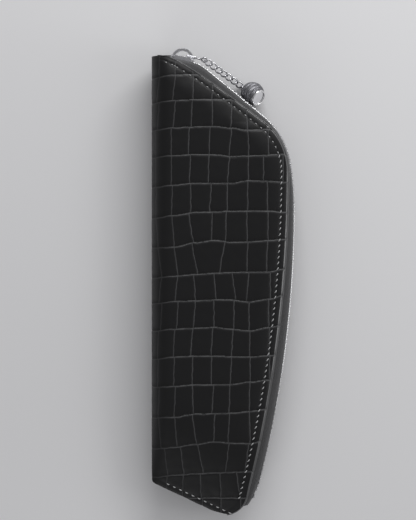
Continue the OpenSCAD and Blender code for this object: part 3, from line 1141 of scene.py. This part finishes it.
    def build(self, finishes: Finishes) -> Piece:
        """Builds the closed sheet.

        Args:
            finishes: the case's finishes.

        Returns:
            The new object, with the plate attribute and the painted edge as its second material; that
            material's light grey along the cut edge and the outer corner is a painted highlight.
        """
        rows = stations(self.row_counts)
        cols = self.columns + self.edge_steps + self.inner_columns
        bm, table = grid(len(rows), cols)
        layer = bm.verts.layers.float_vector["plate"]
        for station, line in zip(rows, table):
            right, y, heading = FORM.edge.at(station)
            left = FORM.left(y)
            for j in range(self.columns):
                x = self.across(j / (self.columns - 1), left, right, 0.0)
                point, plate = self.outside(x, y, right, heading, station)
                line[j].co = placed(*point)
                line[j][layer] = plate
            lip = self.surface(right, y, right, heading, 0.0)
            thick = FORM.leather_t * FORM.fold(right, 0.0)
            for j in range(self.edge_steps):
                turn = math.pi * (j + 1) / (self.edge_steps + 1)
                place = lip + outward(heading) * self.edge_bulge * math.sin(turn)
                place.z -= self.side.value * thick * (0.5 - 0.5 * math.cos(turn))
                line[self.columns + j].co = placed(*place)
            for j in range(self.inner_columns):
                x = self.across(1 - j / (self.inner_columns - 1), left, right, FORM.leather_t)
                point = self.surface(x, y, right, heading, FORM.leather_t)
                line[self.columns + self.edge_steps + j].co = placed(*point)
        close_tube(bm, table)
        # The cut edge and the outer corner take the light grey edge material as a painted highlight.
        painted = self.columns - self.highlight_columns
        edge_verts = {v for line in table for v in line[painted:self.columns + self.edge_steps + 1]}
        for face in bm.faces:
            if all(v in edge_verts for v in face.verts) or len(face.verts) > 4:
                face.material_index = 1
        return finished(bm, self.side.named("leather"), [finishes.leather, finishes.edge_paint_highlight])


# --- Tape ---


@dataclass
class TapeBand:
    """One zip tape: up from the teeth, round the band's corner and in under the leather's edge."""

    side: Side
    row_counts: tuple[int, ...] = (16, 10, 14, 14, 34, 40, 30, 180, 20, 30)
    last: float = 9.42
    columns: int = 22
    thick: float = 0.5
    tuck: float = 3.0
    band_half: float = 4.1
    margin: float = 3.8
    gap: float = 0.1
    neck: float = 0.15
    bead_z: float = 0.8
    bead_lift: float = 0.6
    lift_run: float = 1.6
    slider_run: float = 8.25
    sink_from: float = 9.08
    sink_run: float = 0.1
    wall_over_bead: float = 0.3
    wall_under_lip: float = 1.1
    shoulder_across: float = 0.3
    shoulder_up: float = 0.15

    def under(self, x: float, y: float, edge_distance: float) -> float:
        """Gives the tape's middle height where it lies under the leather.

        Args:
            x: place across.
            y: place up.
            edge_distance: distance from the sewn edge.

        Returns:
            The height in millimetres.
        """
        share = 1 - min(1.0, (x - FORM.leather_t + self.neck) / (FORM.fold_r - FORM.leather_t))
        fold = math.sqrt(max(0.1, 1 - share * share))
        return (FORM.height(x, y, edge_distance) - FORM.leather_t) * fold - (self.thick / 2 + self.gap) / fold

    def spine(self, station: float) -> list[Vector]:
        """Gives the tape's middle line across the band at a station.

        Args:
            station: the row's station on the zip and the edge.

        Returns:
            The points, from the teeth to the tucked end.
        """
        zx, zy, _ = FORM.zip.at(station)
        ex, ey, eh = FORM.edge.at(station)
        lift = FORM.swell(self.slider_run - FORM.zip.run(station), self.lift_run)
        bead = self.bead_z + self.bead_lift * lift
        sunk = max(0.0, min(1.0, (station - self.sink_from) / self.sink_run))
        bead -= (self.bead_z - self.thick / 2 - 0.02) * sunk
        lip = self.under(ex, ey, 0.0)
        wall = min(self.band_half, max(bead + self.wall_over_bead, lip - self.wall_under_lip))
        deep = Vector((ex, ey, 0.0)) - outward(eh) * self.margin
        inner = lip + (self.under(deep.x, deep.y, self.margin) - lip) * self.tuck / self.margin - self.gap
        tuck = Vector((ex, ey, 0.0)) - outward(eh) * self.tuck
        part = self.shoulder_across
        shoulder = Vector((zx + (ex - zx) * part, zy + (ey - zy) * part, (wall + lip) / 2 + self.shoulder_up))
        corners = [Vector((zx, zy, bead)), Vector((zx, zy, wall)), shoulder, Vector((ex, ey, lip)),
                   Vector((tuck.x, tuck.y, inner))]
        steps = ((0, 1, 7), (1, 2, 4), (2, 3, 5), (3, 4, 6))
        line = [corners[a].lerp(corners[b], i / n) for a, b, n in steps for i in range(n)]
        return line[:self.columns - 1] + [corners[-1]]

    def build(self, finishes: Finishes) -> Piece:
        """Builds the closed tape with its map in millimetres.

        Args:
            finishes: the case's finishes.

        Returns:
            The new object.
        """
        rows = [k for k in stations(self.row_counts) if k <= self.last]
        bm, table = grid(len(rows), self.columns * 2)
        uv_run: dict[Vert, tuple[float, float]] = {}
        for station, line in zip(rows, table):
            middle = self.spine(station)
            out = outward(FORM.zip.at(station)[2])
            travelled = 0.0
            along = FORM.zip.run(station)
            for j, point in enumerate(middle):
                before, after = middle[max(0, j - 1)], middle[min(len(middle) - 1, j + 1)]
                way = (after - before).normalized()
                flat = Vector((way.x, way.y, 0.0))
                normal = out * max(0.0, way.z) + Vector((0.0, 0.0, 1.0)) * flat.length
                normal = normal.normalized() if normal.length > 1e-6 else out
                if j:
                    travelled += (point - middle[j - 1]).length
                for half, vert in ((0.5, line[j]), (-0.5, line[2 * self.columns - 1 - j])):
                    place = point + normal * self.thick * half
                    vert.co = placed(place.x, place.y, self.side.value * place.z)
                    uv_run[vert] = (along, travelled)
        close_tube(bm, table)
        layer = bm.loops.layers.uv["weave"]
        for face in bm.faces:
            for loop in face.loops:
                loop[layer].uv = uv_run[loop.vert]
        return finished(bm, self.side.named("zip_tape"), [finishes.tape])


# --- Stitches ---


@dataclass
class Stitching:
    """The sewn line on one side: short stitches down the slope and the seam, slanted ones down the side."""

    sheet: LeatherSheet
    seam_pitch: float = 2.45
    seam_from: float = 5.6
    seam_count: int = 11
    thread: float = 0.4
    slope_length: float = 0.8
    side_length: float = 1.35
    seam_length: float = 1.25
    side_slant: float = math.radians(32)
    sunk: float = 0.06
    bow: float = 0.12
    dive: float = 0.3

    def knot(self, bm: Mesh, place: Vector, along: Vector, up: Vector, length: float) -> None:
        """Adds one stitch: a short thread that dives into its two holes.

        Args:
            bm: the mesh to add to.
            place: the stitch's middle, in the form's millimetres.
            along: the thread's direction.
            up: the leather's outward direction.
            length: the stitch's length.
        """
        along = (along - up * along.dot(up)).normalized()
        verts = bmesh.ops.create_uvsphere(bm, u_segments=8, v_segments=7, radius=1.0)["verts"]
        side = along.cross(up).normalized()
        for vert in verts:
            reach = vert.co.z
            width = self.thread / 2
            bow = self.bow - self.dive * reach * reach
            vert.co = placed(*(place + along * (reach * length / 2) + side * vert.co.x * width
                               + up * (vert.co.y * width + bow)))

    def frame_at(self, x: float, y: float, right: float, heading: float) -> tuple[Vector, Vector]:
        """Gives the surface point and its outward direction on the sewn line.

        Args:
            x: place across.
            y: place up.
            right: the row's end at the zip.
            heading: the edge's heading there.

        Returns:
            The point, sunk by a little, and the direction.
        """
        here = self.sheet.surface(x, y, right, heading, 0.0)
        dx = self.sheet.surface(x + 0.3, y, right, heading, 0.0) - here
        dy = self.sheet.surface(x, y + 0.3, right, heading, 0.0) - here
        up = dx.cross(dy).normalized() * self.sheet.side.value
        return here - up * self.sunk, up

    def build(self, finishes: Finishes) -> Piece:
        """Builds the whole sewn line as one mesh.

        Args:
            finishes: the case's finishes.

        Returns:
            The new object.
        """
        bm = bmesh.new()
        for run in self.sheet.stitch_runs():
            station = FORM.edge.station(run)
            right, y, heading = FORM.edge.at(station)
            inset = self.sheet.inset(station)
            spot = Vector((right, y, 0.0)) - outward(heading) * inset
            edge = spot.x + inset / max(0.05, abs(math.sin(heading)))
            place, up = self.frame_at(spot.x, spot.y, edge, heading)
            on_side = station >= self.sheet.side_from
            way = heading - (self.side_slant if on_side else 0.0)
            along = Vector((math.cos(way), math.sin(way), 0.0))
            self.knot(bm, place, along, up, self.side_length if on_side else self.slope_length)
        slope = math.radians(FORM.seam_angle)
        along = Vector((math.cos(slope), -math.sin(slope), 0.0))
        for i in range(self.seam_count):
            travel = self.seam_from + i * self.seam_pitch
            x = travel * math.cos(slope) + self.sheet.seam_inset * math.sin(slope)
            y = FORM.seam_y - travel * math.sin(slope) + self.sheet.seam_inset * math.cos(slope)
            place, up = self.frame_at(x, y, x + 20.0, -math.pi / 2)
            self.knot(bm, place, along, up, self.seam_length)
        bmesh.ops.recalc_face_normals(bm, faces=bm.faces)
        return finished(bm, self.sheet.side.named("stitches"), [finishes.thread])


# --- Lining ---


@dataclass
class Lining:
    """A thin smooth lining glued inside one face of the leather."""

    sheet: LeatherSheet
    first: float = 3.4
    last: float = 7.93
    rows: int = 90
    columns: int = 40
    thick: float = 0.4
    gap: float = 0.03
    inset: float = 3.8

    def build(self, finishes: Finishes) -> Piece:
        """Builds the closed lining.

        Args:
            finishes: the case's finishes.

        Returns:
            The new object.
        """
        bm, table = grid(self.rows, self.columns * 2)
        for i, line in enumerate(table):
            station = self.first + (self.last - self.first) * i / (self.rows - 1)
            right, y, heading = FORM.edge.at(station)
            left = FORM.left(y)
            end = right - min(self.inset / abs(math.sin(heading)), (right - left) / 3)
            for j in range(self.columns):
                near = FORM.leather_t + self.gap
                for depth, vert in ((near, line[j]), (near + self.thick, line[2 * self.columns - 1 - j])):
                    x = self.sheet.across(j / (self.columns - 1), left, end, depth)
                    vert.co = placed(*self.sheet.surface(x, y, right, heading, depth))
        close_tube(bm, table)
        return finished(bm, self.sheet.side.named("lining"), [finishes.lining])


# --- Assemblies ---


def bend(piece: Piece, half_width: float = 2.0) -> None:
    """Bakes a soft piece's place into its mesh; the direction across the mouth's line is worked out but
    nothing is bent.

    Args:
        piece: the finished piece.
        half_width: half of the width over which it would bend, in millimetres; not used.
    """
    across = FORM.bend_across() * half_width
    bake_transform(piece)


@dataclass
class SoftCase:
    """The folded leather with its lining, tape and stitches."""

    finishes: Finishes

    def build(self) -> list[Piece]:
        """Builds both faces.

        Returns:
            Their pieces.
        """
        front = LeatherSheet(Side.FRONT, (22, 9, 14, 16, 46, 50, 36, 290, 22, 24), 165)
        back = LeatherSheet(Side.BACK, (14, 6, 9, 10, 28, 30, 20, 165, 14, 16), 96)
        pieces = []
        for sheet, body, leather_node, lining_node in (
                (front, "flap", "mouth_flap", "flap_lining"), (back, "case", "leather_wrap", "wrap_lining")):
            leather = sheet.build(self.finishes)
            stitches = Stitching(sheet).build(self.finishes)
            tape = TapeBand(sheet.side).build(self.finishes)
            lining = Lining(sheet).build(self.finishes)
            pieces += [declared(leather, body, leather_node), declared(stitches, body),
                       declared(tape, body, sheet.side.named("tape")),
                       declared(lining, body, lining_node)]
        return pieces


@dataclass
class ZipMetal:
    """Teeth and stops, with eased edges."""

    finishes: Finishes
    ease: float = 0.09

    def build(self) -> list[Piece]:
        """Builds the two rows of teeth and the three stops.

        Returns:
            Their pieces.
        """
        metal = self.finishes.teeth
        pieces = []
        for side, body in ((Side.FRONT, "flap"), (Side.BACK, "case")):
            teeth = eased(side.named("teeth"), side.named("zip_teeth"), metal, self.ease, 1)
            pieces.append(declared(teeth, body, side.named("teeth")))
        for node, ease in (("front_top_stop", 0.1), ("back_top_stop", 0.1), ("bottom_stop", 0.14)):
            pieces.append(declared(eased(node, f"{node}_clip", metal, ease, 2), "case", node))
        return pieces


@dataclass
class Slider:
    """The cast slider: body, cap and spring pawl, with eased edges."""

    finishes: Finishes

    def build(self) -> list[Piece]:
        """Builds the slider's three parts.

        Returns:
            Their pieces.
        """
        pieces = []
        for node, material, slot_name, ease in (
                ("slider_body", self.finishes.slider, "slider", 0.16),
                ("slider_cap", self.finishes.slider, "slider", 0.16),
                ("lock_pawl", self.finishes.spring, "spring", 0.05)):
            piece = eased(node, f"{node}_cast", material, ease, 3, 3.0)
            pieces.append(declared(piece, "slider", node))
        return pieces


@dataclass
class WovenBall:
    """The metal ball: turned bands round its cap's axis, each with fine slanted strands."""

    radius: float = 4.3
    bore: float = 0.64
    collar: float = 4.05
    rim_r: float = 3.1
    pocket_r: float = 2.78
    pocket_depth: float = 0.9
    tilt: float = 54.5
    yaw: float = -37.0
    grooves: tuple[float, ...] = (-55.0, -33.0, -11.0, 11.0, 30.0)
    wall: float = 0.35
    strands: int = 54
    strand_depth: float = 0.09
    strand_lean: float = 0.8
    strand_fade: float = 3.0
    groove_depth: float = 0.22
    groove_width: float = 2.2
    around: int = 378
    steps: int = 76

    def profile(self) -> list[tuple[float, float]]:
        """Gives the turned outline, as radius and height on the ball's axis.

        Returns:
            The points, from the bore round the outside to the pocket.
        """
        first = math.asin(-self.collar / self.radius)
        last = math.acos(self.rim_r / self.radius)
        outer = []
        for i in range(self.steps + 1):
            latitude = first + (last - first) * i / self.steps
            away = min(abs(math.degrees(latitude) - groove) for groove in self.grooves)
            radius = self.radius - self.groove_depth * bell(away, self.groove_width)
            outer.append((radius * math.cos(latitude), radius * math.sin(latitude)))
        face = outer[-1][1]
        floor = face - self.pocket_depth
        return [(self.bore, -self.collar), *outer, (self.pocket_r, face), (self.pocket_r, floor),
                (self.bore, floor)]

    def build(self, finishes: Finishes) -> Piece:
        """Builds the ball in its place.

        Args:
            finishes: the case's finishes.

        Returns:
            The new object.
        """
        bm = bmesh.new()
        ring = [bm.verts.new((radius, 0.0, height)) for radius, height in self.profile()]
        edges = [bm.edges.new(pair) for pair in zip(ring, ring[1:] + ring[:1])]
        bmesh.ops.spin(bm, geom=ring + edges, cent=(0, 0, 0), axis=(0, 0, 1), angle=2 * math.pi,
                       steps=self.around, use_merge=True, use_duplicate=False)
        for vert in bm.verts:
            if vert.co.length > self.radius - self.wall and vert.co.z > -self.collar + 0.05:
                latitude = math.degrees(math.asin(vert.co.z / vert.co.length))
                band = sum(1 for groove in self.grooves if groove < latitude)
                lean = self.strand_lean if band % 2 else -self.strand_lean
                turn = self.strands * (math.atan2(vert.co.y, vert.co.x) + lean * math.radians(latitude))
                away = min(abs(latitude - groove) for groove in self.grooves)
                wave = 0.5 - 0.5 * math.cos(turn)
                vert.co *= 1 - self.strand_depth * wave * min(1.0, away / self.strand_fade) / self.radius
        bmesh.ops.recalc_face_normals(bm, faces=bm.faces)
        yaw = Matrix.Rotation(math.radians(self.yaw), 4, "Z")
        tilt = Matrix.Rotation(math.radians(self.tilt), 4, "Y")
        turn = Matrix.Translation(self.centre()) @ (yaw @ tilt) @ Matrix.Scale(MM, 4)
        bmesh.ops.transform(bm, matrix=turn, verts=bm.verts)
        made = finished(bm, "woven_ball", [finishes.ball])
        made.data.set_sharp_from_angle(angle=TURNED_SHARP)
        return declared(made, "ball", "ball")

    def centre(self) -> Vector:
        """Gives the ball's middle from its node's box: the cap cuts one corner, the other sides are round.

        Returns:
            The middle, in metres.
        """
        low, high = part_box("ball")
        radius = self.radius * MM
        return Vector((low.x + radius, high.y - radius, low.z + radius))


@dataclass
class ChainPull:
    """Connector, curb links and the ball with its cap."""

    finishes: Finishes
    links: int = 7

    def smoothed(self, node: str, name: str, material: Material, body: str,
                 levels: int = 1) -> Piece:
        """Makes a round piece from a CAD node, smoother where it is subdivided.

        Args:
            node: the CAD node it stands for.
            name: the piece's name.
            material: its finish.
            body: the body it rides on.
            levels: rounds of subdivision.

        Returns:
            The new object.
        """
        bm = copied(node)
        if levels:
            bmesh.ops.subdivide_edges(bm, edges=bm.edges, cuts=levels, smooth=1.0, use_grid_fill=True)
        made = finished(bm, name, [material])
        made.data.set_sharp_from_angle(angle=TURNED_SHARP)
        return declared(made, body, node)

    def build(self) -> list[Piece]:
        """Builds the pull from the slider outward.

        Returns:
            Its pieces.
        """
        wire = self.finishes.chain
        pieces = [self.smoothed("pull_connector", "connector_wire", wire, "connector", 0)]
        for n in range(1, self.links + 1):
            pieces.append(self.smoothed(f"chain_link_{n}", f"curb_link_{n}", wire, f"link_{n}"))
        pieces.append(WovenBall().build(self.finishes))
        pieces.append(self.smoothed("ball_eyelet", "ball_eyelet_turned", wire, "ball", 0))
        pieces.append(self.smoothed("cap_rim", "cap_rim_turned", self.finishes.rim, "ball", 0))
        disc = eased("cap_disc", "plain_disc", self.finishes.disc, 0.1, 3)
        return [*pieces, declared(disc, "ball", "cap_disc")]


# --- Studio ---


@dataclass
class Studio:
    """A pale floor, soft lamps and a camera straight above the case; the spine and tip are in pixels."""

    pixels: tuple[int, int] = (416, 520)
    spine_column: float = 151.5
    tip_row: float = 516.0
    pixels_per_mm: float = 2.79
    distance: float = 0.75
    view_height: float = 0.012
    sensor: float = 36.0

    def build(self) -> None:
        """Builds the stage, the lamps and the camera."""
        self.floor()
        self.camera()
        self.lamp("key", (0.16, 0.56, 0.30), 0.60, 0.16, 3.1)
        self.lamp("fill", (-0.20, -0.62, 0.26), 0.50, 0.25, 0.8)
        self.lamp("side", (0.60, -0.05, 0.22), 0.20, 0.50, 0.7)
        world = bpy.data.worlds.new("room")
        bpy.context.scene.world = world
        world.use_nodes = True
        sky = world.node_tree.nodes["Background"].inputs
        sky["Color"].default_value = (0.9, 0.9, 0.92, 1.0)
        sky["Strength"].default_value = 0.34
        bpy.context.scene.view_settings.view_transform = "Standard"

    def floor(self) -> None:
        """Lays a pale floor under the case."""
        bm = bmesh.new()
        bmesh.ops.create_grid(bm, x_segments=1, y_segments=1, size=1.5)
        stage = finished(bm, "pale_floor", [])
        paint = bpy.data.materials.new("floor_paint")
        paint.use_nodes = True
        shader = paint.node_tree.nodes["Principled BSDF"]
        shader.inputs["Base Color"].default_value = (0.78, 0.78, 0.79, 1.0)
        shader.inputs["Roughness"].default_value = 0.75
        stage.data.materials.append(paint)

    def camera(self) -> None:
        """Hangs the camera over the middle of the view."""
        width, height = self.pixels
        lens = bpy.data.cameras.new("camera")
        lens.sensor_fit = "VERTICAL"
        lens.sensor_height = self.sensor
        lens.lens = self.sensor * self.distance / (height / self.pixels_per_mm * MM)
        lens.clip_start = 0.01
        made = linked("camera", lens)
        across, up = width / 2 - self.spine_column, self.tip_row - height / 2
        centre = placed(across / self.pixels_per_mm, up / self.pixels_per_mm, 0.0)
        made.location = (centre.x, centre.y, self.view_height + self.distance)
        bpy.context.scene.camera = made

    @staticmethod
    def lamp(name: str, place: Triple, size_x: float, size_y: float, power: float) -> None:
        """Hangs a soft lamp that looks at the case.

        Args:
            name: the lamp's name.
            place: where it hangs, in metres.
            size_x: its width.
            size_y: its height.
            power: its power in watts.
        """
        light = bpy.data.lights.new(name, "AREA")
        light.shape = "RECTANGLE"
        light.size, light.size_y = size_x, size_y
        light.energy = power
        made = linked(name, light)
        made.location = place
        made.rotation_euler = (-Vector(place)).to_track_quat("-Z", "Y").to_euler()


def main() -> None:
    """Builds the case piece by piece."""
    logging.basicConfig(level=logging.INFO, format="%(message)s")
    Studio().build()
    finishes = Finishes()
    for assembly in (SoftCase(finishes), ZipMetal(finishes), Slider(finishes), ChainPull(finishes)):
        for piece in assembly.build():
            LOG.info("%s: %d faces", piece.name, len(piece.data.polygons))


if __name__ == "__main__":
    main()
